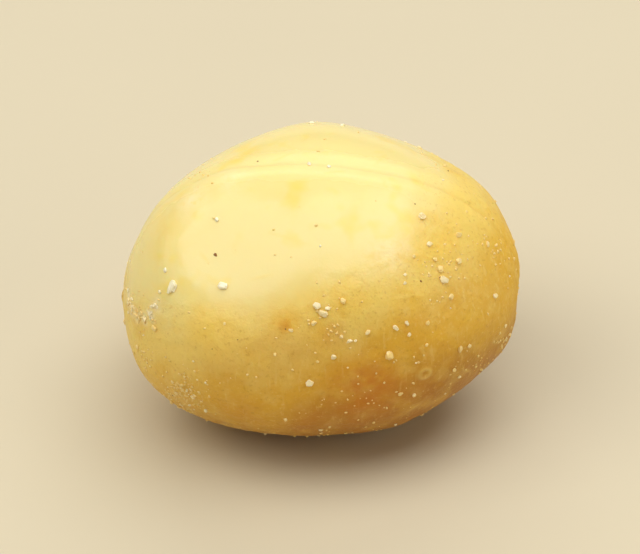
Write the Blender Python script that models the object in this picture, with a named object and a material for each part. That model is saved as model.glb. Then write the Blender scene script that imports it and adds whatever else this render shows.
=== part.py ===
"""A whole shelled macadamia kernel, lying on its side on a small flat spot.

The kernel is one solid. The seam where the two seed halves meet stands upright in the XZ plane, with
the root tip at the -X end and the scar at the +X end, and the widest way across is turned a little
off it. The origin is under the middle, on the surface that the kernel lies on. Units are metres,
+Z up.
"""

import math

import bmesh
import bpy
from mathutils import Matrix, Vector, noise

MM = 0.001

# Driving sizes of the rounded form, along its own axes
LENGTH = 22.0 * MM
THICKNESS = 17.8 * MM
HEIGHT = 16.9 * MM
ROUNDNESS = 2.08
TWIST = math.radians(14.0)

# The resting spot is cut this deep, and the relief fades out round it between these two distances
RESTING_CUT = 0.24 * MM
RESTING_CLEAR = 2.6 * MM
RESTING_FADE = 4.2 * MM

# The seam between the halves
SEAM_DEPTH = 0.10 * MM
SEAM_HALF_WIDTH = 0.20 * MM
SEAM_LIP = 0.05 * MM
SEAM_LIP_REACH = 0.80 * MM
SEAM_STEP = 0.05 * MM
SEAM_BEND = 0.022
SEAM_BENDS_ROUND = 3.0
SEAM_BEND_START = 0.6

# The root tip and the scar: angle of each round the seam from +X, in degrees, and its relief
TIP_TURN = 188.0
TIP_RISE = 0.38 * MM
TIP_SPREAD = 0.85 * MM
TIP_MOAT = 0.10 * MM
TIP_MOAT_REACH = 2.1 * MM
TIP_MOAT_WIDTH = 0.8 * MM
SCAR_TURN = -6.0
SCAR_DEPTH = 0.22 * MM
SCAR_SPREAD = 1.5 * MM
SCAR_RIM = 0.09 * MM
SCAR_RIM_REACH = 2.5 * MM
SCAR_RIM_WIDTH = 0.7 * MM

# The tan side, low and towards the scar, is netted with low wrinkles
TAN_SIDE = Vector((0.60, -0.22, -0.77)).normalized()
NET_RISE = 0.09 * MM
NET_CELL = 3.4 * MM
NET_EDGE = 0.45
NET_START = 0.05
NET_FULL = 0.55

# Slow unevenness all over
UNEVEN_RISE = 0.12 * MM
UNEVEN_LENGTH = 6.5 * MM

# Broad swells and hollows: heading round the kernel and height over its waist, in degrees, then the
# angle each spreads over, in degrees, and how far it stands out
SWELLS = (
    (95.0, 42.0, 13.0, 0.26 * MM),
    (203.0, -24.0, 20.0, 0.50 * MM),
    (355.0, -10.0, 13.0, 0.32 * MM),
    (275.0, -42.0, 24.0, -0.30 * MM),
    (238.0, -50.0, 16.0, -0.18 * MM),
    (338.0, -30.0, 12.0, -0.14 * MM),
    (150.0, 30.0, 20.0, -0.22 * MM),
    (173.0, 12.0, 14.0, -0.30 * MM),
    (37.0, 32.0, 14.0, -0.12 * MM),
    (211.0, 36.0, 14.0, 0.60 * MM),
    (196.0, 52.0, 12.0, 0.40 * MM),
)

# Faces grown nearly flat: heading, height over the waist, and how deep the flat is let in. A flatness
# of 1 is a plane, and 0 leaves a round face
FLATS = (
    (260.0, 54.0, 0.50 * MM),
    (281.0, 5.0, 0.46 * MM),
    (120.0, 15.0, 0.28 * MM),
    (60.0, 55.0, 0.14 * MM),
)
FLATNESS = 0.70
FLAT_BLEND = 0.75 * MM

# Mesh
CELLS = 26
SEAM_CROWDING = 0.45

KERNEL_COLOUR = (0.78, 0.58, 0.22, 1.0)
KERNEL_ROUGHNESS = 0.42


def clear_scene():
    for thing in list(bpy.data.objects):
        bpy.data.objects.remove(thing, do_unlink=True)


def heading(azimuth, height):
    """The direction at these angles, in degrees, round the kernel and over its waist."""
    a, h = math.radians(azimuth), math.radians(height)
    return Vector((math.cos(a) * math.cos(h), math.sin(a) * math.cos(h), math.sin(h)))


def bell(distance, spread):
    return math.exp(-((distance / spread) ** 2))


def ramp(value, start, full):
    """0 at start, 1 at full, eased at both ends."""
    t = min(max((value - start) / (full - start), 0.0), 1.0)
    return t * t * (3.0 - 2.0 * t)


def soft_least(a, b, blend):
    """The smaller of two lengths, rounded where they are alike."""
    share = max(blend - abs(a - b), 0.0) / blend
    return min(a, b) - share * share * blend / 4.0


def egg(direction):
    """Distance from the middle to the plain rounded form."""
    own = Matrix.Rotation(-TWIST, 3, "Z") @ direction
    parts = (own.x / (LENGTH / 2), own.y / (THICKNESS / 2), own.z / (HEIGHT / 2))
    return sum(abs(p) ** ROUNDNESS for p in parts) ** (-1.0 / ROUNDNESS)


def swollen(direction, radius):
    for azimuth, height, spread, rise in SWELLS:
        away = direction.angle(heading(azimuth, height))
        radius += rise * bell(away, math.radians(spread))
    return radius + UNEVEN_RISE * noise.noise(direction * radius / UNEVEN_LENGTH)


def flattened(direction, radius):
    for azimuth, height, depth in FLATS:
        facing = heading(azimuth, height)
        facing_share = direction.dot(facing)
        if facing_share > 0.0:
            flat = (egg(facing) - depth) / facing_share**FLATNESS
            radius = soft_least(radius, flat, FLAT_BLEND)
    return radius


def seam_relief(off):
    """The groove between the halves, the lips beside it, and the small step from one half to the other."""
    groove = -SEAM_DEPTH * bell(off, SEAM_HALF_WIDTH)
    lips = SEAM_LIP * bell(abs(off) - SEAM_LIP_REACH, SEAM_LIP_REACH / 2)
    return groove + lips - SEAM_STEP * math.tanh(off / SEAM_LIP_REACH) * bell(off, 4.0 * SEAM_LIP_REACH)


def round_seam(turn):
    return Vector((math.cos(math.radians(turn)), 0.0, math.sin(math.radians(turn))))


def tip_relief(direction, radius):
    away = direction.angle(round_seam(TIP_TURN)) * radius
    return TIP_RISE * bell(away, TIP_SPREAD) - TIP_MOAT * bell(away - TIP_MOAT_REACH, TIP_MOAT_WIDTH)


def scar_relief(direction, radius):
    away = direction.angle(round_seam(SCAR_TURN)) * radius
    return SCAR_RIM * bell(away - SCAR_RIM_REACH, SCAR_RIM_WIDTH) - SCAR_DEPTH * bell(away, SCAR_SPREAD)


def net_relief(direction, radius):
    """Low wrinkles that meet in a net, over the tan side."""
    here = ramp(direction.dot(TAN_SIDE), NET_START, NET_FULL)
    if here == 0.0:
        return 0.0
    near = noise.voronoi(direction * radius / NET_CELL)[0]
    return NET_RISE * here * (1.0 - ramp(near[1] - near[0], 0.0, NET_EDGE))


def bent(direction):
    """Shifts a direction so that the straight row of the grid at y = 0 follows the seam's slow bends."""
    turn = math.atan2(direction.z, direction.x)
    bend = math.sin(SEAM_BENDS_ROUND * turn + SEAM_BEND_START)
    shift = SEAM_BEND * bend * (1.0 - direction.y**2)
    return Vector((direction.x, direction.y + shift, direction.z)).normalized()


def surface_point(straight):
    direction = bent(straight)
    radius = flattened(direction, swollen(direction, egg(direction)))
    relief = seam_relief(math.asin(straight.y) * radius)
    relief += tip_relief(direction, radius) + scar_relief(direction, radius)
    relief += net_relief(direction, radius)
    under = math.hypot(direction.x, direction.y) * radius
    if direction.z < 0.0:
        relief *= ramp(under, RESTING_CLEAR, RESTING_FADE)
    return direction * (radius + relief)


def even_direction(corner):
    """Turns a point of the cube from -1 to 1 into a direction, with rows crowded towards the seam."""
    x, z = (math.tan(v * math.pi / 4) for v in (corner.x, corner.z))
    y = corner.y * (1.0 - SEAM_CROWDING) + SEAM_CROWDING * corner.y**3
    return Vector((x, math.tan(y * math.pi / 4), z)).normalized()


def kernel_mesh():
    """A gridded cube blown out to the kernel's surface and set down as deep as the resting cut."""
    shape = bmesh.new()
    bmesh.ops.create_cube(shape, size=2.0)
    bmesh.ops.subdivide_edges(shape, edges=shape.edges[:], cuts=CELLS - 1, use_grid_fill=True)
    for vertex in shape.verts:
        vertex.co = surface_point(even_direction(vertex.co))
    low = Vector(min(v.co[i] for v in shape.verts) for i in range(3))
    high = Vector(max(v.co[i] for v in shape.verts) for i in range(3))
    under = Vector(((low.x + high.x) / 2, (low.y + high.y) / 2, low.z + RESTING_CUT))
    bmesh.ops.translate(shape, verts=shape.verts[:], vec=-under)
    mesh = bpy.data.meshes.new("kernel")
    shape.to_mesh(mesh)
    shape.free()
    mesh.shade_smooth()
    return mesh


def kernel_material():
    material = bpy.data.materials.new("kernel_flesh")
    material.use_nodes = True
    shader = material.node_tree.nodes["Principled BSDF"]
    shader.inputs["Base Color"].default_value = KERNEL_COLOUR
    shader.inputs["Roughness"].default_value = KERNEL_ROUGHNESS
    shader.inputs["Metallic"].default_value = 0.0
    return material


def placed(name, mesh):
    thing = bpy.data.objects.new(name, mesh)
    bpy.context.scene.collection.objects.link(thing)
    return thing


def table_cutter():
    """A block whose top is the surface that the kernel lies on."""
    side, depth = 1.5 * LENGTH, 4.0 * MM
    shape = bmesh.new()
    bmesh.ops.create_cube(shape, size=1.0)
    bmesh.ops.scale(shape, verts=shape.verts[:], vec=(side, side, depth))
    bmesh.ops.translate(shape, verts=shape.verts[:], vec=(0, 0, -depth / 2))
    mesh = bpy.data.meshes.new("table_cutter")
    shape.to_mesh(mesh)
    shape.free()
    cutter = placed("table_cutter", mesh)
    cutter.hide_render = True
    cutter.display_type = "WIRE"
    return cutter


def main():
    clear_scene()
    kernel = placed("kernel", kernel_mesh())
    kernel.data.materials.append(kernel_material())
    rest = kernel.modifiers.new("resting_spot", "BOOLEAN")
    rest.operation = "DIFFERENCE"
    rest.object = table_cutter()


main()
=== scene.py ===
"""The finish of a whole shelled macadamia kernel: its skin, its seam, and the salt and crumbs on it."""

import math
import random

import bmesh
import bpy
import numpy as np
from mathutils import Matrix, Vector, noise
from mathutils.bvhtree import BVHTree


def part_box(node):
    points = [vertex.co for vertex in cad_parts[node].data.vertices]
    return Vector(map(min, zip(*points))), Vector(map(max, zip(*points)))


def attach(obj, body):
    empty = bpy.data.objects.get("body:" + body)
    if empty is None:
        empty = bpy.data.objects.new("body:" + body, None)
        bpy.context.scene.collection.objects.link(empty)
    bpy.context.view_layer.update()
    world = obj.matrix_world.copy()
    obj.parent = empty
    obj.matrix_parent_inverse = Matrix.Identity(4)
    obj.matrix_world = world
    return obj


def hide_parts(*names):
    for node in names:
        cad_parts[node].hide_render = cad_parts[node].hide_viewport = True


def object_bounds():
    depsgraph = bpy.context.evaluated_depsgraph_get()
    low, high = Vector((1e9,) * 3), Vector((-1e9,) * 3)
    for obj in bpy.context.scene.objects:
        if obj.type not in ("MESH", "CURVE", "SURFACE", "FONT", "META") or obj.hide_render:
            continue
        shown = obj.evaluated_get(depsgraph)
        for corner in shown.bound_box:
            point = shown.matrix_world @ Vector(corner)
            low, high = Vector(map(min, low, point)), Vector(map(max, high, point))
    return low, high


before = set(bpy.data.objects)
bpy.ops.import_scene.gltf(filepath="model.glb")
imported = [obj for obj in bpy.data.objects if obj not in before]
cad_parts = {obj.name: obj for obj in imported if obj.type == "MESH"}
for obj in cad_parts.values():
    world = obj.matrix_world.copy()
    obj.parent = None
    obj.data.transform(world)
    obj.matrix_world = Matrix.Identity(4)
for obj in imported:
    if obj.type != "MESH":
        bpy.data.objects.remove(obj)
cad_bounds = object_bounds()

MM = 0.001

# Where the kernel's own middle lies, and the direction of its tan side, low on the kernel. Along that
# direction, from -1 to 1, the cream ends at one place and the tan starts at the other; the darker tan
# that way is partly the kernel's own and partly painted shade
MIDDLE = Vector((0.07, -0.20, 8.21)) * MM
TAN_AND_SHADE_SIDE = Vector((0.36, -0.15, -0.92)).normalized()
CREAM_ENDS = -0.56
TAN_STARTS = -0.26

# What makes the border between the two ragged: share, length of its patches, and where the noise starts
RAGGED = ((0.16, 4.0 * MM, 0.0), (0.07, 1.3 * MM, 5.0))

# The kernel's mesh. Smoothing the solid's copy shrinks it a little, and the fine mesh stands off by that
BLANK_CUTS = 31
SEAM_CROWDING = 0.45
DOUBLES_WITHIN = 0.001 * MM
SMOOTH_SHARE = 0.5
FORMER_SMOOTHING = 5
FORMER_SHRINKS = 0.02 * MM
FINE_LEVELS = 2

# Points with less weight than this are left out of a zone
LEAST_WEIGHT = 0.001

# The shoulder beside the seam is eased, from the kernel's middle up to this many times as high
SHOULDER_SMOOTHING = 6
SHOULDER_OFF = -2.4 * MM
SHOULDER_REACH = 1.3 * MM
SHOULDER_FULL = 1.3

# The seam's line, as in the solid, and its fine relief
SEAM_BEND = 0.022
SEAM_BENDS_ROUND = 3.0
SEAM_BEND_START = 0.6
SEAM_WANDER = 0.10 * MM
SEAM_WANDER_LENGTH = 2.2 * MM
SEAM_WANDER_START = 11.0
SEAM_DEPTH = 0.045 * MM
SEAM_HALF_WIDTH = 0.11 * MM
SEAM_LIP = 0.014 * MM
SEAM_LIP_REACH = 1.00 * MM
SEAM_DARK_REACH = 1.2 * SEAM_HALF_WIDTH
SEAM_DULL_REACH = 1.60 * MM

# The groove comes and goes: length of its stretches, where the noise starts, its values at none and full
GROOVE_LENGTH = 3.0 * MM
GROOVE_START = 23.0
GROOVE_RAMP = (-0.40, 0.45)

# The root tip and the scar, by their angle round the seam from +X
TIP_TURN = math.radians(188.0)
TIP_RISE = 0.20 * MM
TIP_SPREAD = 0.50 * MM
TIP_DARK_REACH = 1.6 * TIP_SPREAD
SCAR_TURN = math.radians(-6.0)
SCAR_DEPTH = 0.10 * MM
SCAR_SPREAD = 0.90 * MM
SCAR_DARK_REACH = 1.4 * SCAR_SPREAD

# Small marks in the skin: a round blister, pits and scuffs, which are shallower on the cream side
CREAM_MARKS = 0.3
MARK_SEED = 3
BLISTER_PIXEL = (275.7, 267.0)
BLISTER_RISE = 0.08 * MM
BLISTER_REACH = 0.32 * MM
BLISTER_RIM = 0.13 * MM
BLISTER_SCUFFED = 1.2
PITS = 150
PIT_DEPTH = 0.05 * MM
PIT_SHARES = (0.4, 1.0)
PIT_SIZES = (0.14 * MM, 0.34 * MM)
SCUFFS = 60
SCUFF_LENGTHS = (0.5 * MM, 2.4 * MM)
SCUFF_WIDTH = 0.10 * MM
SCUFF_RISE = 0.022 * MM

# Unevenness of the skin: name, pattern, length of its patches, rise, the zone it is in, and fine layers
UNEVEN = (
    ("slow_dents", "ORIGINAL_PERLIN", 3.2 * MM, 0.07 * MM, "all", 1),
    ("low_wrinkles", "VORONOI_F2_F1", 1.5 * MM, -0.075 * MM, "tan", 1),
    ("puckers", "ORIGINAL_PERLIN", 0.75 * MM, 0.06 * MM, "tan", 2),
    ("grain", "ORIGINAL_PERLIN", 0.35 * MM, 0.035 * MM, "tan", 1),
    ("soft_skin", "ORIGINAL_PERLIN", 1.0 * MM, 0.010 * MM, "cream", 1),
)

# Deeper golden stains: pixel of the photo across and down, reach in millimetres, and strength
STAINS = (
    (227.0, 203.0, 0.9, 0.20), (251.0, 205.0, 0.8, 0.12), (178.0, 212.0, 1.9, 0.24),
    (223.5, 249.5, 0.6, 0.85), (281.0, 220.0, 1.3, 0.55), (274.0, 224.0, 0.8, 0.50),
    (270.0, 241.0, 1.1, 0.55), (237.0, 251.0, 0.8, 0.60), (248.0, 239.0, 1.0, 0.50),
    (236.0, 234.0, 0.9, 0.20), (281.0, 256.0, 1.3, 0.60), (196.0, 252.0, 1.3, 0.30),
    (214.0, 262.0, 1.0, 0.35), (265.0, 262.0, 1.0, 0.45),
)

# Browner spots: partly where roasting browned the kernel most, and partly painted shade and painted orange
# bounce light low on the kernel
ROAST_AND_SHADE_SPOTS = (
    (254.0, 273.0, 2.2, 0.85), (223.5, 250.0, 0.4, 0.70), (268.0, 272.0, 1.6, 0.45),
    (240.5, 253.0, 0.9, 0.36), (272.0, 249.0, 1.1, 0.24), (250.0, 259.0, 1.0, 0.10),
    (208.0, 281.0, 1.6, 0.30), (233.0, 283.0, 1.6, 0.34), (222.0, 260.0, 3.0, 0.24),
    (205.0, 268.0, 2.6, 0.16), (229.0, 255.0, 1.0, 0.28), (279.0, 258.5, 1.5, 0.26),
)

# Paler ones: a film of salt at the left end and low on the left, and paler spots of skin elsewhere
PALE = (
    (262.0, 222.5, 1.2, 0.50), (267.5, 220.5, 0.7, 0.45), (188.5, 202.5, 0.9, 0.70),
    (203.5, 194.0, 0.8, 0.60), (165.2, 237.6, 0.26, 0.80), (165.3, 240.3, 0.32, 0.95),
    (166.3, 243.3, 0.36, 1.0), (168.4, 245.8, 0.36, 1.0), (171.0, 246.6, 0.36, 1.0),
    (173.6, 245.2, 0.36, 1.0), (175.3, 242.4, 0.32, 0.95), (176.2, 239.8, 0.26, 0.60),
    (184.0, 276.0, 1.2, 0.16), (289.0, 232.0, 1.8, 0.10), (284.0, 240.0, 1.2, 0.08),
    (301.0, 236.0, 1.2, 0.06),
)

# Skin under the level is laid flat on z = 0, and the skin from there up to the blend is drawn down with it
SPOT_LEVEL = 0.05 * MM
SPOT_BLEND = 0.15 * MM

# Round the resting spot the relief fades in between these two distances from the middle
SPOT_CLEAR = 2.4 * MM
SPOT_FADE = 3.6 * MM

# The photo's frame, the kernel's middle and scale in it, and the camera, which sees it larger than there
PHOTO_WIDTH = 640
PHOTO_MIDDLE = (236.7, 231.1)
PHOTO_MM_PER_PIXEL = 0.149
VIEW_AZIMUTH = math.radians(3.0)
VIEW_ELEVATION = math.radians(40.0)
VIEW_DISTANCE = 300.0 * MM
VIEW_ENLARGED = 2.68


def view_axes():
    """The directions to the camera, to the picture's right and to its top."""
    a, e = VIEW_AZIMUTH, VIEW_ELEVATION
    back = Vector((math.sin(a) * math.cos(e), -math.cos(a) * math.cos(e), math.sin(e)))
    right = Vector((math.cos(a), math.sin(a), 0.0))
    return back, right, back.cross(right)


def box_middle(bounds):
    return (Vector(bounds[0]) + Vector(bounds[1])) / 2


def only(thing):
    """Leaves one object selected and active."""
    bpy.ops.object.select_all(action="DESELECT")
    thing.select_set(True)
    bpy.context.view_layer.objects.active = thing


def apply_modifiers(thing):
    only(thing)
    for modifier in list(thing.modifiers):
        bpy.ops.object.modifier_apply(modifier=modifier.name)


def bell(distance, spread):
    """1 where the distance is 0, easing off both ways, with about a third left at the spread."""
    return np.exp(-((distance / spread) ** 2))


def ramp(value, start, full):
    """0 at start, 1 at full, eased at both ends."""
    t = np.clip((value - start) / (full - start), 0.0, 1.0)
    return t * t * (3.0 - 2.0 * t)


def vertex_array(mesh):
    flat = np.empty(len(mesh.vertices) * 3, np.float32)
    mesh.vertices.foreach_get("co", flat)
    return flat.reshape(-1, 3).astype(float)


def normal_array(mesh):
    flat = np.empty(len(mesh.vertices) * 3, np.float32)
    mesh.vertex_normals.foreach_get("vector", flat)
    return flat.reshape(-1, 3).astype(float)


def set_vertices(mesh, places):
    mesh.vertices.foreach_set("co", places.astype(np.float32).ravel())
    mesh.update()


def noise_at(places, length, start=0.0):
    """Slow noise from -1 to 1 at each point, with patches this long."""
    shift = Vector((start, 0.0, 0.0))
    return np.array([noise.noise(Vector(place) / length + shift) for place in places])


def kept_number(mesh, name, values):
    """Keeps a number for each point of the mesh, for its material to read."""
    attribute = mesh.attributes.new(name, "FLOAT", "POINT")
    attribute.data.foreach_set("value", values.astype(np.float32))


def skin_tree(skin):
    """The skin's faces, sorted so that a line of sight soon finds the one it meets."""
    shape = bmesh.new()
    shape.from_mesh(skin.data)
    tree = BVHTree.FromBMesh(shape)
    shape.free()
    return tree


def seen_place(pixel, tree):
    """The point of the skin that the photo shows at a pixel, and the skin's normal there."""
    back, right, up = view_axes()
    across = (pixel[0] - PHOTO_MIDDLE[0]) * PHOTO_MM_PER_PIXEL * MM
    above = (PHOTO_MIDDLE[1] - pixel[1]) * PHOTO_MM_PER_PIXEL * MM
    eye = box_middle(cad_bounds) + back * VIEW_DISTANCE
    aim = box_middle(cad_bounds) + right * across + up * above
    place, normal, _, _ = tree.ray_cast(eye, aim - eye)
    return place, normal


# The kernel

def former():
    """A copy of the solid with its seam and wrinkles smoothed away, for the fine mesh to settle on."""
    thing = bpy.data.objects.new("former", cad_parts["kernel"].data.copy())
    bpy.context.scene.collection.objects.link(thing)
    only(thing)
    bpy.ops.object.mode_set(mode="EDIT")
    bpy.ops.mesh.select_all(action="SELECT")
    bpy.ops.mesh.remove_doubles(threshold=DOUBLES_WITHIN)
    bpy.ops.object.mode_set(mode="OBJECT")
    smooth = thing.modifiers.new("smooth", "SMOOTH")
    smooth.factor = SMOOTH_SHARE
    smooth.iterations = FORMER_SMOOTHING
    apply_modifiers(thing)
    return thing


def kernel_blank():
    """A gridded cube, with its rows crowded towards the seam, blown out to a ball of the kernel's size."""
    low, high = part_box("kernel")
    bpy.ops.object.select_all(action="DESELECT")
    bpy.ops.mesh.primitive_cube_add(size=2.0)
    blank = bpy.context.object
    blank.name = "kernel_skin"
    bpy.ops.object.mode_set(mode="EDIT")
    bpy.ops.mesh.select_all(action="SELECT")
    bpy.ops.mesh.subdivide(number_cuts=BLANK_CUTS)
    bpy.ops.object.mode_set(mode="OBJECT")
    grid = vertex_array(blank.data)
    grid[:, 1] = grid[:, 1] * (1.0 - SEAM_CROWDING) + SEAM_CROWDING * grid[:, 1] ** 3
    set_vertices(blank.data, grid)
    ball = blank.modifiers.new("ball", "CAST")
    ball.factor = 1.0
    ball.size = 1.0
    ball.use_radius_as_size = False
    apply_modifiers(blank)
    bpy.ops.object.mode_set(mode="EDIT")
    bpy.ops.mesh.select_all(action="SELECT")
    bpy.ops.transform.resize(value=(high - low) / 2)
    bpy.ops.transform.translate(value=(high + low) / 2)
    bpy.ops.object.mode_set(mode="OBJECT")
    return blank


def settled(blank, target):
    """Draws the blank in to the solid's form and makes its mesh fine."""
    wrap = blank.modifiers.new("settle", "SHRINKWRAP")
    wrap.target = target
    wrap.wrap_method = "NEAREST_SURFACEPOINT"
    wrap.wrap_mode = "ABOVE_SURFACE"
    wrap.offset = FORMER_SHRINKS
    ease = blank.modifiers.new("ease", "SMOOTH")
    ease.factor = SMOOTH_SHARE
    ease.iterations = 1
    apply_modifiers(blank)
    places = vertex_array(blank.data)
    shoulder = bell(seam_offset(places) - SHOULDER_OFF, SHOULDER_REACH)
    zone(blank, "shoulder", shoulder * ramp(places[:, 2], MIDDLE.z, SHOULDER_FULL * MIDDLE.z))
    soften = blank.modifiers.new("soften", "SMOOTH")
    soften.factor = SMOOTH_SHARE
    soften.iterations = SHOULDER_SMOOTHING
    soften.vertex_group = "shoulder"
    fine = blank.modifiers.new("fine", "SUBSURF")
    fine.levels = FINE_LEVELS
    fine.render_levels = FINE_LEVELS
    apply_modifiers(blank)
    bpy.data.objects.remove(target)


def tan_share(places):
    """0 on the cream side of the kernel and 1 on the tan side, with a ragged border."""
    out = places - np.array(MIDDLE)
    out /= np.linalg.norm(out, axis=1)[:, None]
    ragged = sum(share * noise_at(places, length, start) for share, length, start in RAGGED)
    return ramp(out @ np.array(TAN_AND_SHADE_SIDE) + ragged, CREAM_ENDS, TAN_STARTS)


def seam_offset(places):
    """How far each point lies to the side of the seam."""
    out = places - np.array(MIDDLE)
    radius = np.linalg.norm(out, axis=1)
    out /= radius[:, None]
    turn = np.arctan2(out[:, 2], out[:, 0])
    bend = SEAM_BEND * np.sin(SEAM_BENDS_ROUND * turn + SEAM_BEND_START)
    wander = SEAM_WANDER * noise_at(places, SEAM_WANDER_LENGTH, SEAM_WANDER_START)
    return (out[:, 1] - bend * (1.0 - out[:, 1] ** 2)) * radius + wander


def distance_round_seam(places, turn):
    """Distance over the skin from the point of the seam at this angle."""
    out = places - np.array(MIDDLE)
    radius = np.linalg.norm(out, axis=1)
    facing = out @ np.array((math.cos(turn), 0.0, math.sin(turn))) / radius
    return np.arccos(np.clip(facing, -1.0, 1.0)) * radius


def clear_of_spot(places):
    """0 on the resting spot and 1 away from it."""
    under = np.hypot(places[:, 0], places[:, 1])
    return np.where(places[:, 2] < MIDDLE.z, ramp(under, SPOT_CLEAR, SPOT_FADE), 1.0)


def zone(piece, name, weights):
    """Makes a vertex group that holds each point by its weight, for a modifier to work in."""
    group = piece.vertex_groups.new(name=name)
    for index, weight in enumerate(weights):
        if weight > LEAST_WEIGHT:
            group.add([index], float(weight), "REPLACE")


def roughen(piece, name, basis, length, rise, group, layers):
    """Raises the skin by a cloudy pattern whose patches are this long."""
    pattern = bpy.data.textures.new(name, "CLOUDS")
    pattern.noise_basis = basis
    pattern.noise_scale = length
    pattern.noise_depth = layers
    lift = piece.modifiers.new(name, "DISPLACE")
    lift.texture = pattern
    lift.texture_coords = "LOCAL"
    lift.strength = rise
    lift.mid_level = 0.5
    lift.vertex_group = group


def mark_relief(places, seen, draw):
    """The blister, and pits and scuffs drawn over the skin; also how much of a scuff each point is."""
    away = np.linalg.norm(places - np.array(seen[BLISTER_PIXEL]), axis=1)
    blister = bell(away - BLISTER_REACH, BLISTER_RIM)
    rise = BLISTER_RISE * blister
    for _ in range(PITS):
        at = places[draw.randrange(len(places))]
        away = np.linalg.norm(places - at, axis=1)
        rise -= PIT_DEPTH * draw.uniform(*PIT_SHARES) * bell(away, draw.uniform(*PIT_SIZES))
    scuffed = np.zeros(len(places))
    for _ in range(SCUFFS):
        at = places[draw.randrange(len(places))]
        along = np.cross(at - np.array(MIDDLE), [draw.uniform(-1, 1) for _ in range(3)])
        along *= draw.uniform(*SCUFF_LENGTHS) / 2 / np.linalg.norm(along)
        share = np.clip((places - at) @ along / (along @ along), -1.0, 1.0)
        away = np.linalg.norm(places - at - share[:, None] * along, axis=1)
        scuffed = np.maximum(scuffed, bell(away, SCUFF_WIDTH))
    return rise + SCUFF_RISE * scuffed, np.maximum(scuffed, BLISTER_SCUFFED * blister)


def stained_share(places, seen, stains):
    """How much of a stain each point is."""
    share = np.zeros(len(places))
    for across, down, reach, strength in stains:
        away = np.linalg.norm(places - np.array(seen[(across, down)]), axis=1)
        share = np.maximum(share, strength * bell(away, reach * MM))
    return share


def sculpted(skin):
    """Cuts the seam, raises the tip, sinks the scar, adds the marks and keeps where each of them is."""
    places = vertex_array(skin.data)
    normals = normal_array(skin.data)
    off = seam_offset(places)
    tip = distance_round_seam(places, TIP_TURN)
    scar = distance_round_seam(places, SCAR_TURN)
    uneven_groove = ramp(noise_at(places, GROOVE_LENGTH, GROOVE_START), *GROOVE_RAMP)
    rise = -SEAM_DEPTH * uneven_groove * bell(off, SEAM_HALF_WIDTH)
    rise += SEAM_LIP * bell(np.abs(off) - SEAM_LIP_REACH, SEAM_LIP_REACH / 2)
    rise += TIP_RISE * bell(tip, TIP_SPREAD)
    rise -= SCAR_DEPTH * bell(scar, SCAR_SPREAD)
    tree = skin_tree(skin)
    pixels = [BLISTER_PIXEL] + [row[:2] for row in STAINS + ROAST_AND_SHADE_SPOTS + PALE]
    seen = {pixel: seen_place(pixel, tree)[0] for pixel in pixels}
    marks, scuffed = mark_relief(places, seen, random.Random(MARK_SEED))
    rise += marks * (CREAM_MARKS + (1.0 - CREAM_MARKS) * tan_share(places))
    rise *= clear_of_spot(places)
    set_vertices(skin.data, places + normals * rise[:, None])
    kept_number(skin.data, "seam", bell(off, SEAM_DARK_REACH))
    kept_number(skin.data, "by_seam", bell(off, SEAM_DULL_REACH))
    kept_number(skin.data, "scar", bell(scar, SCAR_DARK_REACH))
    kept_number(skin.data, "tip", bell(tip, TIP_DARK_REACH))
    kept_number(skin.data, "scuffed", scuffed)
    kept_number(skin.data, "stained", stained_share(places, seen, STAINS))
    # Where roasting browns the skin, and where painted shade and painted orange bounce light go low on the
    # kernel
    kept_number(skin.data, "roast_and_shade", stained_share(places, seen, ROAST_AND_SHADE_SPOTS))
    kept_number(skin.data, "pale", stained_share(places, seen, PALE))


def set_down(skin):
    """Lays the lowest skin flat on z = 0."""
    places = vertex_array(skin.data)
    low = places[:, 2] < SPOT_BLEND
    eased = (places[:, 2] - SPOT_LEVEL) * SPOT_BLEND / (SPOT_BLEND - SPOT_LEVEL)
    places[low, 2] = np.maximum(eased[low], 0.0)
    set_vertices(skin.data, places)


def kernel_skin():
    """The closed fine mesh that replaces the solid, with the numbers that its material reads."""
    skin = kernel_blank()
    settled(skin, former())
    places = vertex_array(skin.data)
    tan = tan_share(places)
    clear = clear_of_spot(places)
    zone(skin, "all", clear)
    zone(skin, "tan", tan * clear)
    zone(skin, "cream", (1.0 - tan) * clear)
    for row in UNEVEN:
        roughen(skin, *row)
    apply_modifiers(skin)
    kept_number(skin.data, "tan_share", tan)
    sculpted(skin)
    set_down(skin)
    only(skin)
    bpy.ops.object.shade_smooth()
    return skin


# Materials

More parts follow.
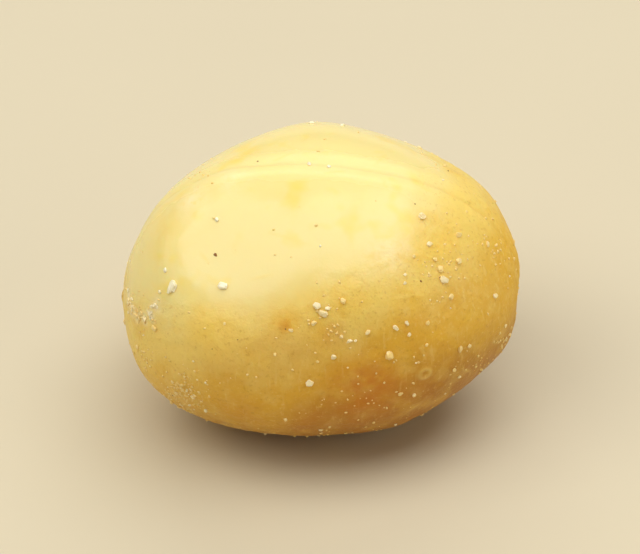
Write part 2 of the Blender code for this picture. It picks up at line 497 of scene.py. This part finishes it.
class Finish:
    """A material's nodes, added and joined in short lines."""

    def __init__(self, name):
        self.material = bpy.data.materials.new(name)
        self.material.use_nodes = True
        self.tree = self.material.node_tree
        self.shader = self.tree.nodes["Principled BSDF"]
        self.place = self.add("ShaderNodeTexCoord").outputs["Object"]

    def add(self, kind, **settings):
        node = self.tree.nodes.new(kind)
        for name, value in settings.items():
            setattr(node, name, value)
        return node

    def feed(self, socket, value):
        """Joins another node to this socket, or gives it a plain value."""
        if isinstance(value, bpy.types.NodeSocket):
            self.tree.links.new(value, socket)
        else:
            socket.default_value = value

    def noise(self, length, detail=2.0, roughness=0.5, drawn_out=None):
        """Noise from 0 to 1, with patches this long, or drawn out that many times longer one way."""
        place = self.place
        if drawn_out:
            stretch = self.add("ShaderNodeMapping")
            self.feed(stretch.inputs["Vector"], place)
            stretch.inputs["Rotation"].default_value = (0.0, STREAK_TURN, 0.0)
            stretch.inputs["Scale"].default_value = (1.0, 1.0, 1.0 / drawn_out)
            place = stretch.outputs["Vector"]
        node = self.add("ShaderNodeTexNoise")
        self.feed(node.inputs["Vector"], place)
        self.feed(node.inputs["Scale"], 1.0 / length)
        self.feed(node.inputs["Detail"], detail)
        self.feed(node.inputs["Roughness"], roughness)
        return node.outputs["Fac"]

    def wavering(self, length, detail, share):
        """Noise round 0, as much as this from its lowest to its highest."""
        return self.times(self.math("SUBTRACT", self.noise(length, detail), 0.5), share)

    def kept(self, name):
        """The number that the mesh keeps under this name."""
        return self.add("ShaderNodeAttribute", attribute_name=name).outputs["Fac"]

    def spread(self, value, low, high, to_low=0.0, to_high=1.0):
        """Carries the values from low to high over to those from to_low to to_high, eased at both ends."""
        node = self.add("ShaderNodeMapRange", interpolation_type="SMOOTHSTEP")
        self.feed(node.inputs["Value"], value)
        for name, number in (("From Min", low), ("From Max", high), ("To Min", to_low), ("To Max", to_high)):
            self.feed(node.inputs[name], number)
        return node.outputs["Result"]

    def math(self, operation, a, b):
        node = self.add("ShaderNodeMath", operation=operation)
        self.feed(node.inputs[0], a)
        self.feed(node.inputs[1], b)
        return node.outputs[0]

    def times(self, a, b):
        return self.math("MULTIPLY", a, b)

    def vector(self, operation, a, b=None):
        node = self.add("ShaderNodeVectorMath", operation=operation)
        self.feed(node.inputs[0], a)
        if b is not None:
            self.feed(node.inputs[1], b)
        return node.outputs["Value"] if operation == "DOT_PRODUCT" else node.outputs["Vector"]

    def mixed(self, share, a, b):
        """Colour a where the share is 0, and colour b where it is 1; they go to sockets 6 and 7."""
        node = self.add("ShaderNodeMix", data_type="RGBA")
        self.feed(node.inputs[0], share)
        self.feed(node.inputs[6], a)
        self.feed(node.inputs[7], b)
        return node.outputs[2]

    def colours(self, value, stops):
        """A colour ramp: stops are (place from 0 to 1, colour)."""
        node = self.add("ShaderNodeValToRGB")
        node.color_ramp.interpolation = "EASE"
        while len(node.color_ramp.elements) < len(stops):
            node.color_ramp.elements.new(0.5)
        for element, (place, tint) in zip(node.color_ramp.elements, stops):
            element.position = place
            element.color = tint
        self.feed(node.inputs["Fac"], value)
        return node.outputs["Color"]

    def bump(self, height, rise):
        node = self.add("ShaderNodeBump")
        self.feed(node.inputs["Height"], height)
        self.feed(node.inputs["Distance"], rise)
        return node.outputs["Normal"]


def channel(value):
    """One channel as on a screen, from 0 to 255, by the sRGB curve in Blender's linear values."""
    return ((value / 255 + 0.055) / 1.055) ** 2.4 if value > 10 else value / 3294.6


def colour(red, green, blue):
    """A colour given as on a screen, in Blender's linear values."""
    return (channel(red), channel(green), channel(blue), 1.0)


CREAM = colour(243, 226, 154)
GOLD = colour(243, 212, 112)
TAN = colour(233, 183, 56)
# Deep tan, the kernel's own; at the low tan pole it is also painted shade
DEEP_TAN_AND_SHADE = colour(180, 120, 22)
YELLOW = colour(247, 216, 92)
STAIN = colour(242, 196, 58)
OCHRE = colour(230, 182, 58)
DUST = colour(246, 216, 122)
# Roast brown, laid on as roast and also as painted shade and painted orange bounce light
ROAST_AND_SHADE = colour(206, 120, 6)
FILM = colour(255, 240, 196)
SALT = colour(253, 243, 214)
OILED_SALT = colour(244, 215, 142)
CRUMB = colour(250, 227, 158)
GOLDEN_CRUMB = colour(240, 200, 112)
SPECK = colour(164, 116, 56)
DARK_SPECK = colour(120, 78, 34)
FLOOR = colour(208, 197, 174)
PALE_FLOOR = colour(213, 203, 180)

# The skin's ground colour, from the cream pole at 0 to the tan pole at 1, and the noise that shifts it.
# The tan pole lies low on the kernel, and its deep tan is partly the kernel's own and partly painted shade
GROUND_AND_SHADE = ((0.10, CREAM), (0.30, GOLD), (0.62, TAN), (0.95, DEEP_TAN_AND_SHADE))
GROUND_PATCHES = 4.0 * MM
GROUND_WAVERS = 0.5

# The share of the yellow mottle that is left on the tan side
MOTTLE_ON_TAN = 0.25

# Dust thins out between these two places on the way to the tan pole, from the first share to the second
DUST_ENDS = (0.15, 0.85)
DUST_SHARES = (1.25, 0.40)

# Pale streaks run this way over the skin
STREAK_TURN = math.radians(28.0)

# Colours laid over the ground in turn: where each lies, its noise as (length of the patches, detail,
# roughness, how many times longer one way), two values of that noise, and how strong it is at each
LAYERS = (
    (YELLOW, "mottled", (2.4 * MM, 2.0, 0.5), (0.55, 0.72), (0.0, 0.55)),
    (STAIN, "stained", (0.8 * MM, 2.0, 0.5), (0.30, 0.60), (0.45, 1.0)),
    (OCHRE, "tan_share", (1.9 * MM, 3.0, 0.5), (0.52, 0.66), (0.0, 0.35)),
    (DUST, "dusty", (1.1 * MM, 3.0, 0.5), (0.45, 0.70), (0.0, 0.22)),
    (DUST, "dusty", (0.22 * MM, 3.0, 0.65), (0.56, 0.74), (0.0, 0.45)),
    (DEEP_TAN_AND_SHADE, "tan_share", (0.22 * MM, 3.0, 0.65), (0.45, 0.28), (0.0, 0.30)),
    (DUST, "dusty", (0.25 * MM, 2.0, 0.5, 7.0), (0.58, 0.72), (0.0, 0.30)),
    # Roast brown spots, partly painted shade and painted orange bounce light
    (ROAST_AND_SHADE, "roast_and_shade", (1.0 * MM, 3.0, 0.5), (0.30, 0.60), (0.55, 1.0)),
)

# Then the marks, each this strong, and on top the paler spots, a film of salt among them
MARK_COLOURS = (
    (DUST, "scuffed", 0.35),
    (DEEP_TAN_AND_SHADE, "seam", 0.09),
    (DEEP_TAN_AND_SHADE, "scar", 0.30),
    (DEEP_TAN_AND_SHADE, "tip", 0.45),
)
FILM_LAYER = (FILM, "pale", (0.4 * MM, 2.0, 0.5), (0.30, 0.60), (0.50, 1.0))

# The skin's gloss: how rough each side is, what the seam adds, and how much the rest wavers
CREAM_ROUGHNESS = 0.14
TAN_ROUGHNESS = 0.44
SEAM_ROUGHNESS = 0.26
WAVERING_ROUGHNESS = 0.12
ROUGHNESS_PATCHES = 1.2 * MM

# The finest grain of the skin, which the cream side has less of
FINE_GRAIN = (0.16 * MM, 3.0, 0.6)
FINE_GRAIN_RISE = 0.035 * MM
FINE_GRAIN_ON_CREAM = 0.15

# Salt took up oil in patches of the tan side: two values of the noise, and the oil at each
OIL_PATCHES = 1.3 * MM
OIL_NOISE = (0.36, 0.58)
OIL_SHARES = (0.40, 1.0)

# How long the patches of two colours are on the crumbs, specks and floor, and how rough these are
CRUMB_PATCHES = 0.8 * MM
CRUMB_ROUGHNESS = 0.5
SPECK_PATCHES = 0.1 * MM
SPECK_ROUGHNESS = 0.6
FLOOR_PATCHES = 30.0 * MM
FLOOR_ROUGHNESS = 0.75


def laid(f, base, where, layer):
    """Lays a row of LAYERS over the colours so far."""
    tint, name, pattern, values, shares = layer
    area = where[name] if name in where else f.kept(name)
    patchy = f.spread(f.noise(*pattern), *values, *shares)
    return f.mixed(f.times(area, patchy), base, tint)


def skin_colour(f, tan):
    """The skin's ground colour with all that is laid over it; tan is the mesh's own tan_share."""
    out = f.vector("NORMALIZE", f.vector("SUBTRACT", f.place, MIDDLE))
    towards_tan_and_shade = f.vector("DOT_PRODUCT", out, TAN_AND_SHADE_SIDE)
    wavers = f.wavering(GROUND_PATCHES, 3.0, GROUND_WAVERS)
    # The ground darkens towards the low tan pole: partly the kernel's own tan, partly painted shade
    base = f.colours(f.spread(f.math("ADD", towards_tan_and_shade, wavers), -1.0, 1.0), GROUND_AND_SHADE)
    mottled = f.spread(tan, 0.0, 1.0, 1.0, MOTTLE_ON_TAN)
    dusty = f.times(tan, f.spread(towards_tan_and_shade, *DUST_ENDS, *DUST_SHARES))
    where = {"tan_share": tan, "mottled": mottled, "dusty": dusty}
    for layer in LAYERS:
        base = laid(f, base, where, layer)
    for tint, name, share in MARK_COLOURS:
        base = f.mixed(f.times(f.kept(name), share), base, tint)
    return laid(f, base, where, FILM_LAYER)


def kernel_finish():
    f = Finish("kernel_skin")
    tan = f.kept("tan_share")
    f.feed(f.shader.inputs["Base Color"], skin_colour(f, tan))
    rough = f.spread(tan, 0.0, 1.0, CREAM_ROUGHNESS, TAN_ROUGHNESS)
    rough = f.math("ADD", rough, f.times(f.kept("by_seam"), SEAM_ROUGHNESS))
    rough = f.math("ADD", rough, f.wavering(ROUGHNESS_PATCHES, 3.0, WAVERING_ROUGHNESS))
    f.feed(f.shader.inputs["Roughness"], rough)
    fine = f.times(f.noise(*FINE_GRAIN), f.spread(tan, 0.0, 1.0, FINE_GRAIN_ON_CREAM, 1.0))
    f.feed(f.shader.inputs["Normal"], f.bump(fine, FINE_GRAIN_RISE))
    f.shader.inputs["Subsurface Weight"].default_value = 0.30
    f.shader.inputs["Subsurface Radius"].default_value = (1.0, 0.60, 0.25)
    f.shader.inputs["Subsurface Scale"].default_value = 1.3 * MM
    f.shader.inputs["IOR"].default_value = 1.47
    f.shader.inputs["Specular IOR Level"].default_value = 0.42
    return f.material


def salt_finish():
    f = Finish("salt")
    oiled = f.times(f.spread(f.noise(OIL_PATCHES, 1.0), *OIL_NOISE, *OIL_SHARES), f.kept("tan_share"))
    f.feed(f.shader.inputs["Base Color"], f.mixed(oiled, SALT, OILED_SALT))
    f.shader.inputs["Roughness"].default_value = 0.28
    f.shader.inputs["Subsurface Weight"].default_value = 0.4
    f.shader.inputs["Subsurface Radius"].default_value = (1.0, 1.0, 0.9)
    f.shader.inputs["Subsurface Scale"].default_value = 0.1 * MM
    f.shader.inputs["IOR"].default_value = 1.54
    return f.material


def plain_finish(name, patches, one_colour, other_colour, roughness):
    """A material of two colours in patches, equally rough all over."""
    f = Finish(name)
    f.feed(f.shader.inputs["Base Color"], f.mixed(f.noise(patches), one_colour, other_colour))
    f.shader.inputs["Roughness"].default_value = roughness
    return f.material


def crumb_finish():
    return plain_finish("crumb", CRUMB_PATCHES, CRUMB, GOLDEN_CRUMB, CRUMB_ROUGHNESS)


def speck_finish():
    return plain_finish("husk", SPECK_PATCHES, SPECK, DARK_SPECK, SPECK_ROUGHNESS)


def floor_finish():
    return plain_finish("floor", FLOOR_PATCHES, FLOOR, PALE_FLOOR, FLOOR_ROUGHNESS)


def give(thing, material):
    thing.data.materials.clear()
    thing.data.materials.append(material)


# Grains on the skin

# Grains of salt: pixel of the photo across and down, and width in millimetres
SEEN_GRAINS = (
    (181.6, 235.0, 0.52), (200.5, 234.4, 0.46), (179.0, 228.6, 0.22), (175.0, 250.2, 0.30),
    (198.2, 209.7, 0.20), (245.3, 240.1, 0.30), (235.5, 241.8, 0.38), (237.8, 244.7, 0.34),
    (234.4, 248.2, 0.26), (264.8, 249.9, 0.30), (254.5, 251.6, 0.26), (244.7, 253.3, 0.22),
    (262.5, 260.2, 0.38), (241.8, 260.8, 0.26), (232.7, 270.5, 0.36), (225.8, 251.0, 0.20),
    (281.4, 228.1, 0.34), (282.6, 232.1, 0.40), (277.4, 218.9, 0.26), (274.6, 208.5, 0.34),
    (288.3, 215.4, 0.30), (288.3, 225.2, 0.34), (271.7, 223.5, 0.20), (285.5, 238.4, 0.28),
    (276.9, 248.2, 0.22), (288.9, 257.9, 0.34), (299.2, 218.9, 0.28), (292.3, 256.8, 0.22),
    (232.7, 189.0, 0.20), (240.0, 190.0, 0.18), (233.6, 173.8, 0.22), (245.0, 174.6, 0.20),
    (302.0, 238.0, 0.24), (279.5, 224.5, 0.22), (239.5, 242.8, 0.22), (165.4, 240.8, 0.22),
    (168.2, 245.4, 0.26), (171.4, 246.6, 0.28), (175.4, 241.8, 0.28), (165.2, 236.0, 0.18),
    (177.0, 236.6, 0.20),
)
RANDOM_GRAINS = 130
GRAIN_SIZES = (0.09 * MM, 0.22 * MM)
GRAIN_MODELS = 4
GRAIN_CHIP = 0.22
GRAIN_UNEVEN = 0.14
GRAIN_SEED = 7

# Crumbs of the kernel
RANDOM_CRUMBS = 280
CRUMB_SIZES = (0.06 * MM, 0.20 * MM)
CRUMB_MODELS = 4
CRUMB_SEED = 19

# Salt and crumbs lie in drifts: pixel of the photo across and down, reach in pixels, and how many
SALT_DRIFTS = (
    (165.4, 240.0, 1.6, 5), (166.6, 243.6, 1.8, 6), (169.8, 246.2, 2.0, 8), (173.4, 245.2, 1.8, 6),
    (175.4, 241.8, 1.6, 5), (185.0, 276.0, 9.0, 34), (307.0, 252.0, 5.0, 6), (168.0, 258.0, 6.0, 5),
)
CRUMB_DRIFTS = (
    (170.0, 243.5, 8.0, 40), (185.0, 276.0, 9.0, 200), (306.0, 256.0, 5.0, 40), (297.0, 264.0, 6.0, 36),
    (255.0, 280.0, 22.0, 40), (238.0, 176.0, 9.0, 8), (192.0, 192.0, 7.0, 20), (169.0, 262.0, 6.0, 34),
    (282.0, 229.0, 9.0, 40), (238.0, 247.0, 9.0, 30), (300.0, 220.0, 8.0, 30),
)

# Specks of brown husk: pixel of the photo across and down, and width in millimetres
SEEN_SPECKS = (
    (197.6, 222.9, 0.25), (223.8, 250.6, 0.12), (206.0, 254.5, 0.10), (284.5, 191.5, 0.14),
    (196.5, 258.0, 0.09),
)
RANDOM_SPECKS = 18
SPECK_SIZES = (0.06 * MM, 0.16 * MM)
SPECK_MODELS = 3
SPECK_SEED = 31

# How far the middle of a grain stands out of the skin, as a share of its width
GRAIN_STANDS_OUT = 0.08
CRUMB_STANDS_OUT = -0.02
SPECK_STANDS_OUT = -0.12

# Each copy is tipped up to this angle, in radians, and stretched along, across and upwards
GRAIN_TIPPED = 0.6
GRAIN_STRETCHES = ((0.8, 1.3), (0.7, 1.1), (0.5, 0.9))

# Random grains lie over this level. One that falls on the cream side stays there this often
GRAINS_OVER = 1.0 * MM
CREAM_HOLDS = 0.12


def grain_model(name, draw, chip):
    """A small grain to copy: a cube with its edges cut off where chip says how far, or else a lump."""
    bpy.ops.object.select_all(action="DESELECT")
    if chip:
        bpy.ops.mesh.primitive_cube_add(size=1.0)
    else:
        bpy.ops.mesh.primitive_ico_sphere_add(subdivisions=1, radius=0.5)
    grain = bpy.context.object
    grain.name = name
    if chip:
        bpy.ops.object.mode_set(mode="EDIT")
        bpy.ops.mesh.select_all(action="SELECT")
        bpy.ops.mesh.bevel(offset=chip, segments=1)
        bpy.ops.object.mode_set(mode="OBJECT")
    for vertex in grain.data.vertices:
        vertex.co += Vector(draw.uniform(-GRAIN_UNEVEN, GRAIN_UNEVEN) for _ in range(3))
    return grain


def seen_ones(skin, pixels_and_widths):
    """Place, normal and width of each grain that the photo shows at a pixel."""
    tree = skin_tree(skin)
    found = []
    for across, down, width in pixels_and_widths:
        place, normal = seen_place((across, down), tree)
        if place is not None:
            found.append((place, normal, width * MM))
    return found


def scattered(skin, draw, count, sizes):
    """Place, normal and width of grains drawn over the skin, more of them on the tan side."""
    places = vertex_array(skin.data)
    normals = normal_array(skin.data)
    tan = np.empty(len(places), np.float32)
    skin.data.attributes["tan_share"].data.foreach_get("value", tan)
    found = []
    while len(found) < count:
        index = draw.randrange(len(places))
        holds = CREAM_HOLDS + (1.0 - CREAM_HOLDS) * tan[index]
        if places[index][2] < GRAINS_OVER or draw.random() > holds:
            continue
        found.append((Vector(places[index]), Vector(normals[index]), draw.uniform(*sizes)))
    return found


def drifted(skin, draw, drifts, sizes):
    """Place, normal and width of grains drawn round the middle of each drift."""
    tree = skin_tree(skin)
    found = []
    for across, down, reach, count in drifts:
        for _ in range(count):
            pixel = (draw.gauss(across, reach / 2), draw.gauss(down, reach / 2))
            place, normal = seen_place(pixel, tree)
            if place is not None:
                found.append((place, normal, draw.uniform(*sizes)))
    return found


def strewn(name, wanted, models, stands_out, draw):
    """One piece made of copies of the models, each turned, sized and sunk into the skin."""
    copies = []
    for place, normal, width in wanted:
        model = draw.choice(models)
        copy = model.copy()
        copy.data = model.data.copy()
        bpy.context.scene.collection.objects.link(copy)
        spin = Matrix.Rotation(draw.uniform(0.0, math.tau), 3, "Z")
        spin = spin @ Matrix.Rotation(draw.uniform(-GRAIN_TIPPED, GRAIN_TIPPED), 3, "X")
        turned = normal.to_track_quat("Z", "X") @ spin.to_quaternion()
        stretch = Vector([draw.uniform(*stretches) for stretches in GRAIN_STRETCHES]) * width
        copy.data.transform(Matrix.LocRotScale(place + normal * width * stands_out, turned, stretch))
        copies.append(copy)
    for model in models:
        bpy.data.objects.remove(model)
    bpy.ops.object.select_all(action="DESELECT")
    for copy in copies:
        copy.select_set(True)
    bpy.context.view_layer.objects.active = copies[0]
    bpy.ops.object.join()
    piece = bpy.context.object
    piece.name = name
    return piece


def salt_grains(skin):
    draw = random.Random(GRAIN_SEED)
    wanted = seen_ones(skin, SEEN_GRAINS)
    wanted += scattered(skin, draw, RANDOM_GRAINS, GRAIN_SIZES)
    wanted += drifted(skin, draw, SALT_DRIFTS, GRAIN_SIZES)
    models = [grain_model("salt_model", draw, GRAIN_CHIP) for _ in range(GRAIN_MODELS)]
    piece = strewn("salt_grains", wanted, models, GRAIN_STANDS_OUT, draw)
    kept_number(piece.data, "tan_share", tan_share(vertex_array(piece.data)))
    return piece


def crumbs(skin):
    draw = random.Random(CRUMB_SEED)
    wanted = drifted(skin, draw, CRUMB_DRIFTS, CRUMB_SIZES)
    wanted += scattered(skin, draw, RANDOM_CRUMBS, CRUMB_SIZES)
    models = [grain_model("crumb_model", draw, 0.0) for _ in range(CRUMB_MODELS)]
    piece = strewn("crumbs", wanted, models, CRUMB_STANDS_OUT, draw)
    only(piece)
    bpy.ops.object.shade_smooth()
    return piece


def specks(skin):
    draw = random.Random(SPECK_SEED)
    wanted = seen_ones(skin, SEEN_SPECKS)
    wanted += scattered(skin, draw, RANDOM_SPECKS, SPECK_SIZES)
    models = [grain_model("speck_model", draw, 0.0) for _ in range(SPECK_MODELS)]
    return strewn("husk_specks", wanted, models, SPECK_STANDS_OUT, draw)


# Stage

# Soft boxes: name, direction from the kernel, distance, width and height in metres, turn on their own
# axis in degrees, watts, and tint. The first three, side by side, are mirrored in the pale glossy face
LIGHTS = (
    ("key", (-0.02, -0.11, 1.0), 0.45, (0.92, 0.22), 32.0, 1.85, (1.0, 0.98, 0.93)),
    ("key_foot", (0.313, -0.312, 1.0), 0.50, (0.43, 0.08), 32.0, 0.33, (1.0, 0.98, 0.93)),
    ("key_wing", (-0.675, -0.035, 1.0), 0.56, (0.28, 0.14), 32.0, 0.34, (1.0, 0.98, 0.93)),
    ("back", (0.05, 0.74, 0.67), 0.60, (0.60, 0.22), 0.0, 1.2, (1.0, 0.98, 0.88)),
    ("left", (-0.82, -0.05, 0.62), 0.60, (0.40, 0.40), 0.0, 0.50, (1.0, 0.93, 0.62)),
    ("right", (0.85, -0.35, 0.40), 0.60, (0.40, 0.40), 0.0, 0.72, (1.0, 0.95, 0.76)),
)

# A light whose direction rises more than this is overhead, and its width lies along X
OVERHEAD = 0.75

ROOM_TINT = (1.0, 0.95, 0.84, 1.0)
ROOM_STRENGTH = 0.15
FLOOR_SIDE = 1.6
NEAREST_SEEN = 10.0 * MM


def stage_floor():
    bpy.ops.object.select_all(action="DESELECT")
    bpy.ops.mesh.primitive_plane_add(size=FLOOR_SIDE)
    floor = bpy.context.object
    floor.name = "floor"
    give(floor, floor_finish())


def soft_light(name, towards, distance, size, turn, watts, tint):
    """A soft box that stands off in one direction, faces the kernel and is turned on its own axis."""
    lamp = bpy.data.lights.new(name, "AREA")
    lamp.shape = "RECTANGLE"
    lamp.size, lamp.size_y = size
    lamp.energy = watts
    lamp.color = tint
    thing = bpy.data.objects.new(name, lamp)
    bpy.context.scene.collection.objects.link(thing)
    away = Vector(towards).normalized()
    level = Vector((1.0, 0.0, 0.0)) if away.z > OVERHEAD else Vector((0.0, 0.0, 1.0)).cross(away)
    level = (level - away * level.dot(away)).normalized()
    facing = Matrix((level, away.cross(level), away)).transposed()
    thing.location = MIDDLE + away * distance
    thing.rotation_euler = (facing @ Matrix.Rotation(math.radians(turn), 3, "Z")).to_euler()


def studio():
    for light in LIGHTS:
        soft_light(*light)
    world = bpy.data.worlds.new("soft_room")
    world.use_nodes = True
    world.node_tree.nodes["Background"].inputs["Color"].default_value = ROOM_TINT
    world.node_tree.nodes["Background"].inputs["Strength"].default_value = ROOM_STRENGTH
    bpy.context.scene.world = world
    bpy.context.scene.view_settings.view_transform = "Standard"


def photo_camera():
    back, _, _ = view_axes()
    lens = bpy.data.cameras.new("camera")
    camera = bpy.data.objects.new("camera", lens)
    bpy.context.scene.collection.objects.link(camera)
    width = PHOTO_WIDTH * PHOTO_MM_PER_PIXEL * MM / VIEW_ENLARGED
    lens.lens = lens.sensor_width * VIEW_DISTANCE / width
    lens.clip_start = NEAREST_SEEN
    camera.location = box_middle(cad_bounds) + back * VIEW_DISTANCE
    camera.rotation_euler = back.to_track_quat("Z", "Y").to_euler()
    bpy.context.scene.camera = camera


def main():
    skin = kernel_skin()
    give(skin, kernel_finish())
    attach(skin, "root")
    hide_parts("kernel")
    grains = salt_grains(skin)
    give(grains, salt_finish())
    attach(grains, "root")
    dust = crumbs(skin)
    give(dust, crumb_finish())
    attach(dust, "root")
    husk = specks(skin)
    give(husk, speck_finish())
    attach(husk, "root")
    stage_floor()
    studio()
    photo_camera()


main()
